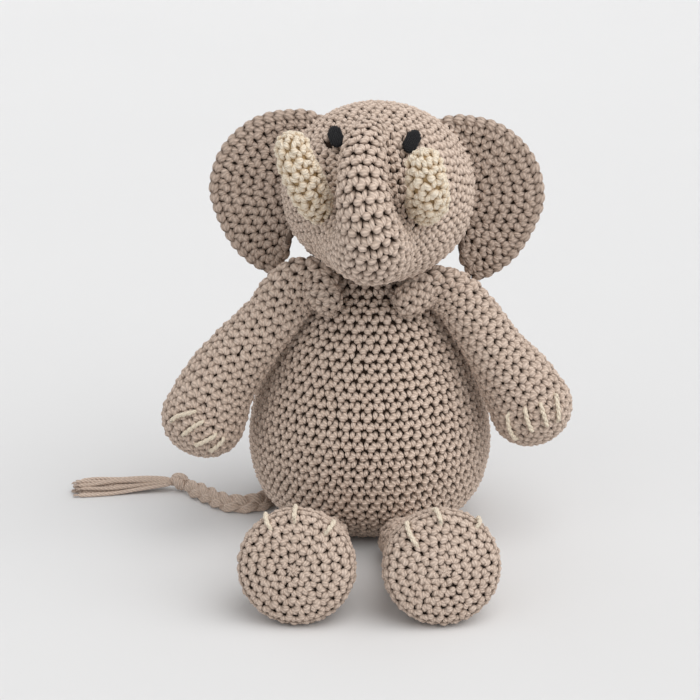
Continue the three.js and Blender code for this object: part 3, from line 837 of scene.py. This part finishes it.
PLAIT_SWING = 2.45
PLAIT_RISE = 1.15
PLAIT_PITCH = 22.0
PLAIT_YARN = 0.95
PLAIT_SPREAD = 1.1
PLAIT_TILT = math.radians(60)  # how far the plait's broad side is turned up from the floor
YARN_TWIST = 4.0
LOOSE_YARN = 0.95  # radius of the yarn of the knot's bars, the tassel and the root
ROOT_BALL = 3.0  # radius of the coil where the tail is sewn on
ROOT_AXIS = (-0.16, 0.75, -0.64)
ROOT_TURNS = 4.2
KNOT_YARN = 1.02
KNOT_LOOPS = ((-1.7, 0.5, 2.35), (-0.2, 0.55, 2.65), (1.3, 0.5, 2.4))  # place, lean, radius
TASSEL_FLOOR = 0.98
TASSEL_LAYERS = ((7, 0.0, 5.4), (5, 1.75, 4.0), (3, 3.3, 2.2))  # strands, level, half-width
FIBRES = 5  # at each strand's cut end


def tail_place(points):
    return np.asarray(points, float) + TAIL_PIVOT


def make_tail():
    rng = np.random.default_rng(11)
    line, places = even_line(tail_place(TAIL_ROUTE), 0.7)
    slope = unit(np.gradient(line, axis=0))
    right = unit(np.cross(slope, [0, 0, 1.0]))
    out = np.cross(right, slope)
    right, out = (right * math.cos(PLAIT_TILT) + out * math.sin(PLAIT_TILT),
                  out * math.cos(PLAIT_TILT) - right * math.sin(PLAIT_TILT))
    gather = np.clip(np.minimum(places / 6, (places[-1] - places + 2.5) / 7), 0.3, 1)[:, None]
    gather *= np.interp(places, [0, places[-1] / 2, places[-1]], [1.08, 1.08, 0.8])[:, None]
    plait = Mesh()
    for k in range(3):
        phase = TURN * (places / PLAIT_PITCH + k / 3)[:, None]
        swing = PLAIT_SWING * np.sin(phase) * gather
        rise = PLAIT_RISE * np.sin(2 * phase) * gather
        strand = line + right * swing + out * rise
        way = unit(np.gradient(strand, axis=0))
        flat = unit(np.cross(way, out))
        for m in (-1, 0, 1):
            yarn = strand + flat * m * PLAIT_SPREAD * (0.6 + 0.4 * gather)
            yarn = yarn + out * 0.18 * np.cos(m * 1.2 + phase)
            yarn[:, 2] = np.maximum(yarn[:, 2], PLAIT_YARN + 0.05)
            add_yarn(plait, yarn, PLAIT_YARN, rng, sides=8, pitch=YARN_TWIST)
    braid = plait.build("tail_plait", TAUPE)

    knot = Mesh()
    centre = tail_place(KNOT_CENTRE)
    axis = unit(tail_place(TASSEL_ROUTE[1]) - line[-1])
    side = unit(np.cross(axis, [0, 0, 1.0]))
    rise = np.cross(side, axis)
    for place, lean, radius in KNOT_LOOPS:
        a = np.linspace(0, TURN, 40)
        loop = (centre + side * radius * np.cos(a)[:, None]
                + rise * (radius * 0.93) * np.sin(a)[:, None]
                + axis * (place + lean * 1.9 * np.sin(a + 0.6))[:, None])
        loop[:, 2] = np.maximum(loop[:, 2], 1.1)
        add_yarn(knot, loop, KNOT_YARN, rng, up=axis, pitch=YARN_TWIST)
    across = np.linspace(-1, 1, 24)[:, None]
    for m in (-0.9, 0.9):
        bar = (centre + axis * (across * 3.2 + m * 0.4) + side * (m * 0.9)
               + rise * (3.2 * np.sqrt(np.clip(1 - 0.75 * across**2, 0, 1))))
        add_yarn(knot, bar, LOOSE_YARN, rng, pitch=YARN_TWIST)
    core = centre + axis * np.linspace(-4.2, 4.4, 12)[:, None]
    add_yarn(knot, core, 1.9, rng, sides=10, pitch=YARN_TWIST)
    knot = knot.build("tail_knot_loops", TAUPE)

    tassel = Mesh()
    route, reach = even_line(tail_place(TASSEL_ROUTE), 1.0)
    slope = unit(np.gradient(route, axis=0))
    right = unit(np.cross(slope, [0, 0, 1.0]))
    part = (reach / reach[-1])[:, None]
    layout = [(2 * i / (strands - 1) - 1, level, half)
              for strands, level, half in TASSEL_LAYERS for i in range(strands)]
    for k, (row, level, reach_out) in enumerate(layout):
        spread = row * (1.6 + (reach_out - 1.6) * part**0.45)
        wave = 1.0 * np.sin(part * (5.5 + 0.45 * k) + k * 1.7) * part * (1 - 0.3 * part)
        strand = route + right * (spread + wave)
        high = route[:, 2:] * (1 - part) ** 2 + (TASSEL_FLOOR + level) * (1 - (1 - part) ** 2)
        high = high + 0.45 * level * np.sin(math.pi * part**0.7)
        high = high[:, 0] + 0.25 * np.sin(part[:, 0] * 7 + k)
        strand[:, 2] = np.maximum(high, TASSEL_FLOOR)
        cut = len(strand) - int(rng.integers(0, 4))
        add_yarn(tassel, strand[:cut], LOOSE_YARN, rng, pitch=YARN_TWIST, taper=1.6)
        tip = strand[cut - 1]
        way = unit(strand[cut - 1] - strand[cut - 4])
        for m in range(FIBRES):
            fan = way + right[-1] * (m - 2) * 0.16 + np.array([0, 0, 0.1 * rng.normal()])
            fibre = tip - way * 1.2 + unit(fan) * np.linspace(0, 2.4 + rng.random(), 5)[:, None]
            fibre[:, 2] = np.maximum(fibre[:, 2], 0.35)
            add_yarn(tassel, fibre, 0.3, rng, sides=5, pitch=1.5, taper=0.6)
    tassel = tassel.build("tail_tassel_strands", TAUPE)

    root = Mesh()
    pivot = np.array(TAIL_PIVOT, float)
    ball_axis = np.array(ROOT_AXIS)
    ball_side = unit(np.cross(ball_axis, [0, 0, 1.0]))
    ball_up = np.cross(ball_side, ball_axis)
    a = np.linspace(0.25, 0.98, 160)[:, None] * math.pi
    spin = a * 2 * ROOT_TURNS
    round_it = ball_side * np.cos(spin) + ball_up * np.sin(spin)
    coil = pivot + ROOT_BALL * (ball_axis * np.cos(a) + np.sin(a) * round_it)
    add_yarn(root, coil, LOOSE_YARN, rng, pitch=YARN_TWIST)
    core = pivot + ball_axis * np.linspace(-2.6, 2.4, 8)[:, None]
    add_yarn(root, core, 2.2, rng, sides=10, pitch=YARN_TWIST)
    root = root.build("tail_root", TAUPE)

    join([braid], "tail", "tail_braid")
    join([knot], "tail", "tail_knot")
    join([tassel], "tail", "tail_tassel")
    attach(root, "tail")


make_tail()

# ---- Covers --------------------------------------------------------------------------------


def finish_cover(name, body, stitches, inner):
    join((*stitches, inner), body, f"{name}_cover")


def stitched(name, material, surface, size, rng, floor=None, **settings):
    mesh = Mesh()
    add_stitches(mesh, surface, size, rng, **settings)
    return mesh.build(name, material, floor)


def lined(name, material, surface, floor=None, **settings):
    mesh = Mesh()
    add_inner(mesh, surface, **settings)
    return mesh.build(name, material, floor)


def head_place(points):
    return turned_y(np.asarray(points, float), HEAD_LEAN) + NECK_CENTRE


def out_of_socket(points):
    """Pushes points that are inside the neck's socket out onto it."""
    middle = np.array(NECK_CENTRE, float)
    offset = points - middle
    gap = np.linalg.norm(offset, axis=1, keepdims=True)
    edge = SOCKET + 0.2
    return np.where(gap < edge, middle + offset / np.maximum(gap, 1e-6) * edge, points)


def inside_round(form, place, shrink):
    """Says which points lie inside a round form made smaller by shrink."""
    last = len(form["stations"]) - 1
    alongs = np.linspace(-0.98, last + 0.98, 20 * (last + 2))
    centre, side, up, wide, thick = rings_of(form, alongs)
    origin = place(np.zeros((1, 3)))
    middle = place(centre)
    side = place(side) - origin
    up = place(up) - origin
    wide = np.maximum(wide[:, 0] - shrink, 0.01)
    thick = np.maximum(thick[:, 0] - shrink, 0.01)
    tangent = np.cross(side, up)

    def inside(points):
        offset = points[:, None] - middle[None]
        ahead = np.abs(np.einsum("ijk,jk->ij", offset, tangent))
        x = np.einsum("ijk,jk->ij", offset, side) / wide
        y = np.einsum("ijk,jk->ij", offset, up) / thick
        return ((ahead < 1.5) & (x * x + y * y < 1)).any(axis=1)
    return inside


def make_torso():
    rng = np.random.default_rng(21)
    surface = torso_surface()
    under_head = inside_round(HEAD, head_place, 3.0)
    split = surface.length * 0.5
    pieces = [
        stitched(f"torso_stitches_{label}", TAUPE, surface, (STITCH_WIDE, STITCH_HIGH), rng,
                 floor=0.15, keep=lambda p: ~under_head(p), s_range=span)
        for label, span in (("lower", (0.6, split)), ("upper", (split, surface.length)))
    ]
    inner = lined("torso_fabric", TAUPE_INSIDE_PAINTED_SHADE, surface, floor=0.5)
    finish_cover("torso", "torso", pieces, inner)


def make_head():
    rng = np.random.default_rng(31)
    surface = form_surface(HEAD, place=head_place, columns=160)
    middle = np.array(NECK_CENTRE, float)
    eyes = []
    for side, sign in SIDES:
        centre, *ways = eye_frame(side, sign)
        eyes.append([head_place(centre), *(turned_y(way, HEAD_LEAN) for way in ways)])

    def keep(points):
        chosen = np.linalg.norm(points - middle, axis=1) > SOCKET + 0.8
        for centre, outward, length, across in eyes:
            offset = points - centre
            x = offset @ across / (EYE_HALF[0] * 0.75)
            y = offset @ length / (EYE_HALF[1] * 0.75)
            chosen &= (x * x + y * y > 1) | (np.abs(offset @ outward) > 6)
        return chosen

    stitches = stitched("head_stitches", TAUPE, surface, (STITCH_WIDE, STITCH_HIGH), rng,
                        keep=keep, full=1.05)
    inner = lined("head_fabric", TAUPE_INSIDE_PAINTED_SHADE, surface, push=out_of_socket)
    finish_cover("head", "head", [stitches], inner)


def make_tusk(side):
    rng = np.random.default_rng(41 if side == "right" else 42)
    surface = form_surface(TUSKS[side], reverse=True, place=head_place, columns=80)
    in_head = inside_round(HEAD, head_place, 2.0)
    stitches = stitched(f"{side}_tusk_stitches", CREAM, surface, TUSK_STITCH, rng,
                        keep=lambda p: ~in_head(p), puff=1.15, jitter=1.8)
    inner = lined(f"{side}_tusk_fabric", CREAM_INSIDE_PAINTED_SHADE, surface, sink=1.0)
    finish_cover(f"{side}_tusk", "head", [stitches], inner)


def eye_frame(side, sign):
    """Where an eye sits on the head: its centre, and its outward, long and cross directions."""
    along, around = EYES[side]
    step = 0.05
    centre, ahead, behind, left, right = form_points(
        HEAD, [along, along + step, along - step, along, along],
        [around, around, around, around + 4, around - 4],
    )
    outward = unit(np.cross(left - right, ahead - behind))
    length = np.array([sign * math.tan(EYE_LEAN[side]), 0, 1.0])
    length = unit(length - outward * np.dot(length, outward))
    return centre, outward, length, np.cross(outward, length)


def make_eye(side, sign):
    """Satin stitch: strands side by side over a low pad."""
    rng = np.random.default_rng(51)
    centre, outward, length, across = eye_frame(side, sign)
    pad = Mesh()
    for k in range(EYE_STRANDS):
        x = (k + 0.5) / EYE_STRANDS * 2 - 1
        reach = EYE_HALF[1] * math.sqrt(1 - (0.93 * x) ** 2)
        q = np.linspace(-1, 1, 15)[:, None]
        lift = 1.4 + 0.9 * math.sqrt(1 - 0.6 * x * x) * (1 - q**4)
        line = centre + across * (x * EYE_HALF[0]) + length * (q * reach) + outward * lift
        add_yarn(pad, head_place(line), EYE_YARN, rng, up=turned_y(outward, HEAD_LEAN), pitch=1.8,
                 shade=0.5)
    core = centre + length * (np.linspace(-0.8, 0.8, 9)[:, None] * EYE_HALF[1]) + outward * 1.1
    add_yarn(pad, head_place(core), 1.7, rng, pitch=2.0, shade=0.3, taper=2.0)
    join([pad.build(f"{side}_eye_satin", BLACK)], "head", f"{side}_eye")


EAR_CENTRE = (29.0, 45.0)  # where the ear's rounds start, at the head
EAR_FACE_SINK = 0.2
EDGE_CHAIN = 4.3  # mm from one link of the edging to the next
EDGE_STITCH = (6.0, 2.7, 2.3, 0.6)  # long, wide, thick, dip
EDGE_LINKS = ((98, 1), (58, -1), (16, 1), (-16, -1), (-58, 1), (-98, -1))  # degrees, lean


def ear_outline(count):
    """The ear's outline in its plane, inset by its edging."""
    ways = np.linspace(0, 1, count)
    line, slope = spline(EAR_OUTLINE, ways, centripetal=False, mirrored=False)
    slope = unit(slope)
    inward = np.stack([slope[:, 1], -slope[:, 0]], axis=1)
    return line + inward * EAR_EDGE


def ear_place(side, flat, y):
    """Points of the ear's plane, in the world."""
    x = HEAD_MIDDLE + side * flat[..., 0]
    return head_place(np.stack([x, np.broadcast_to(y, x.shape), flat[..., 1]], axis=-1))


def ear_surface(side, face):
    """One face of an ear: rounds run from the head out to the edge."""
    centre = np.array(EAR_CENTRE)
    rows = np.linspace(0.02, 0.99, 60)[:, None, None]
    flat = centre + (ear_outline(120)[None] - centre) * rows
    rings = ear_place(side, flat, EAR_DEPTH + face * (EAR_HALF - EAR_FACE_SINK))
    behind = rings[20, 40] - turned_y(np.array([0.0, float(face), 0.0]), HEAD_LEAN)
    return Surface(rings, behind, closed=False)


def make_ear(side, sign):
    rng = np.random.default_rng(61 if side == "right" else 62)
    in_head = inside_round(HEAD, head_place, 1.0)
    line = ear_outline(160)
    for face, label in ((-1, "front"), (1, "back")):
        surface = ear_surface(sign, face)
        stitches = stitched(f"{side}_ear_{label}_stitches", EAR_TAUPE_PAINTED_SHADE, surface, EAR_STITCH, rng,
                            keep=lambda p: ~in_head(p), full=1.15)
        inner = Mesh()
        add_ear_fabric(inner, sign, face)
        inner = inner.build(f"{side}_ear_{label}_fabric", TAUPE_INSIDE_PAINTED_SHADE)
        join((stitches, inner), f"{side}_ear", f"{side}_ear_{label}")

    edge = Mesh()
    rim = ear_place(sign, line, np.full(len(line), float(EAR_DEPTH)))
    even, places = even_line(rim[::8], 0.5)
    count = int(places[-1] / EDGE_CHAIN)
    spots = (np.arange(count) + 0.5) / count * places[-1]
    point = values_at(spots, places, even)
    slope = unit(values_at(spots, places, np.gradient(even, axis=0)))
    forward = unit(turned_y(np.array([0.0, -1.0, 0.0]), HEAD_LEAN))
    outer = unit(np.cross(slope, forward))
    middle = head_place(np.array([[HEAD_MIDDLE + sign * EAR_CENTRE[0], EAR_DEPTH, EAR_CENTRE[1]]]))[0]
    outer = np.where(dot(outer, point - middle) < 0, -outer, outer)
    keep = ~in_head(point)
    for angle, lean in EDGE_LINKS:
        a = math.radians(angle)
        normal = unit(outer * math.cos(a) + forward * math.sin(a))
        around = unit(np.cross(slope, normal))
        tilt = math.radians(15) * lean + rng.normal(0, 0.05, count)[:, None]
        along = slope * np.cos(tilt) + around * np.sin(tilt)
        across = np.cross(normal, along)
        shift = slope * (rng.normal(0, 0.15, count)[:, None])
        spot = point + normal * 1.75 + shift
        measures = (np.full(keep.sum(), measure) for measure in EDGE_STITCH)
        add_bulges(edge, spot[keep], normal[keep], along[keep], across[keep], *measures, rng)
    edge = edge.build(f"{side}_ear_edge_chain", EAR_TAUPE_PAINTED_SHADE)
    core = Mesh()
    # a dark core under the edging chain, coloured with painted shade
    add_yarn(core, even[::4], 1.9, rng, sides=10, pitch=3.0)
    core = core.build(f"{side}_ear_edge_core", TAUPE_INSIDE_PAINTED_SHADE)
    join((edge, core), f"{side}_ear", f"{side}_ear_edging")


def add_ear_fabric(mesh, sign, face):
    """A thin closed sheet under one face's stitches, kept clear of the head."""
    line = ear_outline(60)
    centre = np.array(EAR_CENTRE)
    rows = (0.12, 0.4, 0.7, 0.985)
    flat = np.concatenate([centre + (line - centre) * r for r in rows])
    n, m = len(line), len(rows)
    deep = EAR_DEPTH + face * (EAR_HALF - 1.25)
    shallow = EAR_DEPTH + face * 0.25
    top = ear_place(sign, flat, np.full(len(flat), deep))
    bottom = ear_place(sign, flat, np.full(len(flat), shallow))
    clear = inside_round(HEAD, head_place, -2.6)
    blocked = clear(top)
    vertices = np.concatenate([top, bottom])
    corners, sizes = [], []
    size = n * m
    quads = {}
    for i in range(m - 1):
        for k in range(n - 1):
            a, b, c, d = i * n + k, i * n + k + 1, (i + 1) * n + k + 1, (i + 1) * n + k
            if blocked[a] and blocked[b] and blocked[c] and blocked[d]:
                continue
            quads[(i, k)] = (a, b, c, d)
    for (i, k), (a, b, c, d) in quads.items():
        corners += [a, b, c, d, size + d, size + c, size + b, size + a]
        sizes += [4, 4]
        for step, (p, q) in (((-1, 0), (a, b)), ((0, 1), (b, c)), ((1, 0), (c, d)), ((0, -1), (d, a))):
            if (i + step[0], k + step[1]) not in quads:
                corners += [q, p, size + p, size + q]
                sizes.append(4)
    corners, sizes = np.array(corners), np.array(sizes)
    spots = np.zeros((len(corners), 2))
    if sign * face < 0:
        corners, spots = flipped(corners, sizes, spots)
    used = np.unique(corners)
    fresh = np.full(len(vertices), -1)
    fresh[used] = np.arange(len(used))
    mesh.add(vertices[used][None], fresh[corners], sizes, spots, 0.5, 0.5)


def head_edge(side, polar, lift):
    """Where the back of the head meets the plane that an ear stands in."""
    centre, across, up, wide, thick = (v[0] for v in rings_of(HEAD, [0.0]))
    nose = np.cross(up, across)
    start = np.array([HEAD_MIDDLE, EAR_DEPTH, centre[2]])
    way = np.array([side * math.sin(polar), 0, math.cos(polar)])
    offset = start - centre
    a = b = 0.0
    c = -1.0
    for axis, half in ((across, wide[0]), (up, thick[0]), (nose, HEAD["start_cap"])):
        ahead = np.dot(way, axis) / (half + lift)
        aside = np.dot(offset, axis) / (half + lift)
        a += ahead * ahead
        b += ahead * aside
        c += aside * aside
    return start + way * (math.sqrt(b * b - a * c) - b) / a


WHIP_STITCH = (4.6, 2.1, 2.0, 0.5)  # long, wide, thick, dip


def make_ear_seam(side, sign):
    """Whip stitches that hold an ear to the head, on both of its faces."""
    rng = np.random.default_rng(71)
    whip = Mesh()
    polar = np.linspace(EAR_SEAM_FROM + 0.12, EAR_SEAM_TO - 0.1, 15)
    low = np.array([head_edge(sign, a, -0.6) for a in polar])
    high = np.array([head_edge(sign, a, 2.6) for a in polar])
    for face in (-1, 1):
        out = np.array([0.0, float(face), 0.0])
        start = low + out * 4.0
        end = high + out * 3.1
        middle = (start + end) / 2 + out * 0.4
        way = unit(end - start)
        normal = unit(out + 0.5 * unit(low - low.mean(axis=0)))
        normal = turned_y(unit(normal - way * dot(normal, way)), HEAD_LEAN)
        along = turned_y(way, HEAD_LEAN)
        measures = (np.full(len(middle), measure) for measure in WHIP_STITCH)
        add_bulges(whip, head_place(middle), normal, along, np.cross(normal, along), *measures,
                   rng)
    join([whip.build(f"{side}_ear_whip_stitches", TAUPE)], "head", f"{side}_ear_seam")


CLAW_PLY = 0.66  # radius
CLAW_TWIST = 5.0  # mm for one turn of its two plies


def add_claw(mesh, form, place, ends, rng):
    """Two plies twisted together, drawn over the stitches and sunk at both ends."""
    (a0, b0), (a1, b1) = ends
    q = np.linspace(0, 1, 25)
    along = a0 + (a1 - a0) * q
    around = b0 + (b1 - b0) * q
    base = form_points(form, along, around)
    step = 0.02
    ahead = form_points(form, along + step, around) - form_points(form, along - step, around)
    aside = form_points(form, along, around + 3) - form_points(form, along, around - 3)
    normal = unit(np.cross(ahead, aside))
    centre = rings_of(form, np.clip(along, 0, len(form["stations"]) - 1))[0]
    normal = np.where(dot(normal, base - centre) < 0, -normal, normal)
    lift = 1.5 - 2.8 * np.clip(np.abs(2 * q - 1) - 0.8, 0, 1) / 0.2
    line = place(base + normal * lift[:, None])
    slope = unit(np.gradient(line, axis=0))
    across = np.cross(slope, normal)
    length = reach_along(line)
    for k in range(2):
        phase = (TURN * (length / CLAW_TWIST + k / 2))[:, None]
        strand = line + 0.36 * (across * np.cos(phase) + normal * np.sin(phase))
        add_yarn(mesh, strand, CLAW_PLY, rng, pitch=1.6, shade=0.9)


def make_limb(side, kind, form, claws, seed):
    rng = np.random.default_rng(seed)
    pivot = np.array(form["pivot"], float)

    def place(points):
        return np.asarray(points, float) + pivot

    surface = form_surface(form, reverse=True, place=place, columns=110)
    name = f"{side}_{kind}"
    stitches = stitched(f"{name}_stitches", LIMB_TAUPE_PAINTED_SHADE, surface, LIMB_STITCH, rng, floor=0.15,
                        full=1.16)
    inner = lined(f"{name}_fabric", TAUPE_INSIDE_PAINTED_SHADE, surface, floor=0.5)
    finish_cover(name, name, [stitches], inner)
    for i, ends in enumerate(claws):
        strand = Mesh()
        add_claw(strand, form, place, ends, rng)
        piece = strand.build(f"{name}_claw_strand_{i + 1}", CREAM)
        join([piece], name, f"{name}_claw_{i + 1}")


def dress_cad_nodes():
    """The nodes that stay: the stuffing and the sewing yarn inside the neck."""
    for name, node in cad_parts.items():
        if not name.endswith("_stuffing") and name != "neck_seam":
            continue
        material = FILLING if name.endswith("_stuffing") else SEAM_YARN
        for slot in node.material_slots:
            slot.material = material


make_torso()
make_head()
for side, sign in SIDES:
    make_tusk(side)
    make_eye(side, sign)
    make_ear(side, sign)
    make_ear_seam(side, sign)
    make_limb(side, "arm", ARMS[side], HAND_CLAWS[side], 81 + sign)
    make_limb(side, "leg", LEGS[side], FOOT_CLAWS[side], 91 + sign)
dress_cad_nodes()
